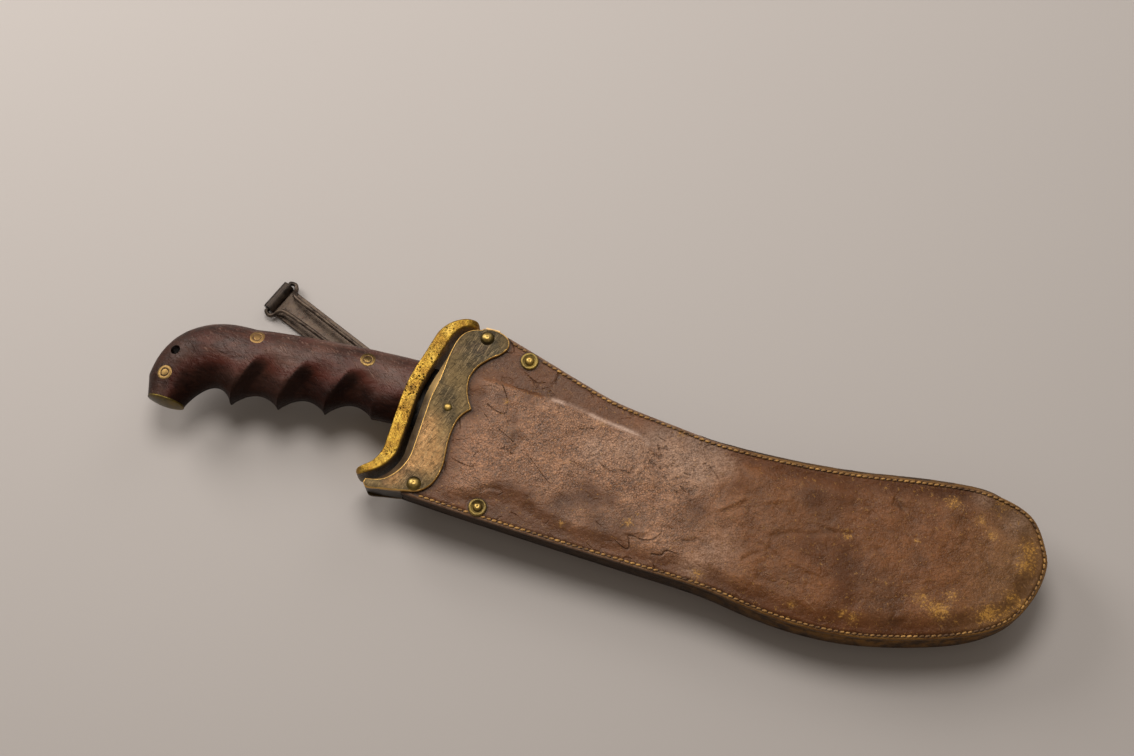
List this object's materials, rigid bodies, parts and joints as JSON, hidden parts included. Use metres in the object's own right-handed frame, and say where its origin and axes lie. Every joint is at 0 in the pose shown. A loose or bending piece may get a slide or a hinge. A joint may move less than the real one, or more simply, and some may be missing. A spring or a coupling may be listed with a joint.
{
  "type": "bolo knife with scabbard",
  "caption": "Leaf-bladed bolo knife with a brass guard and finger-grooved wooden grip, seated in a leather scabbard with a brass throat and a swivelling steel belt hanger.",
  "frame": {"origin": "middle of the part's outline, on the plane of the belt hanger's back, which the part lies on", "axes": "+X along the draw towards the closed end of the scabbard, +Y towards the spine side of the blade, +Z towards the front of the scabbard"},
  "size_m": [0.4484, 0.1047, 0.0346],
  "materials": {
    "blade_steel": "satin, darkened by age",
    "bright_brass": "worn bright, pitted",
    "old_brass": "dull olive patina with rubbed edges",
    "dark_wood": "oiled, handled smooth",
    "leather": "worn, soft sheen",
    "leather_edge": "dark burnished edge",
    "thread": "waxed thread, worn",
    "hanger_steel": "browned steel"
  },
  "bodies": {
    "scabbard": {"throat_front_plate": "old_brass", "throat_back_plate": "old_brass", "throat_mouthpiece": "old_brass", "throat_rivets": "old_brass", "spring_rivet": "old_brass", "blade_spring": "old_brass", "leather_front": "leather", "leather_back": "leather", "leather_welt": "leather_edge", "seam_thread": "thread", "leather_rivets": "old_brass", "leather_rivet_washers": "old_brass", "swivel_boss": "hanger_steel", "swivel_stud": "hanger_steel"},
    "knife": {"blade": "blade_steel", "guard": "bright_brass", "grip_scale_front": "dark_wood", "grip_scale_back": "dark_wood", "grip_pins": "bright_brass", "grip_roves": "bright_brass", "butt_plate": "old_brass"},
    "hanger": {"hanger_plate": "hanger_steel", "belt_wire": "hanger_steel", "wire_spool": "hanger_steel"}
  },
  "joints": [
    {"name": "knife_draw", "type": "slide", "parent": "scabbard", "child": "knife", "axis": [-1, 0, 0], "range_m": [-0.0025, 0.32]},
    {"name": "hanger_swivel", "type": "hinge", "parent": "scabbard", "child": "hanger", "pos_m": [-0.07475, 0.00101, 0], "axis": [0, 0, 1], "continuous": true}
  ]
}
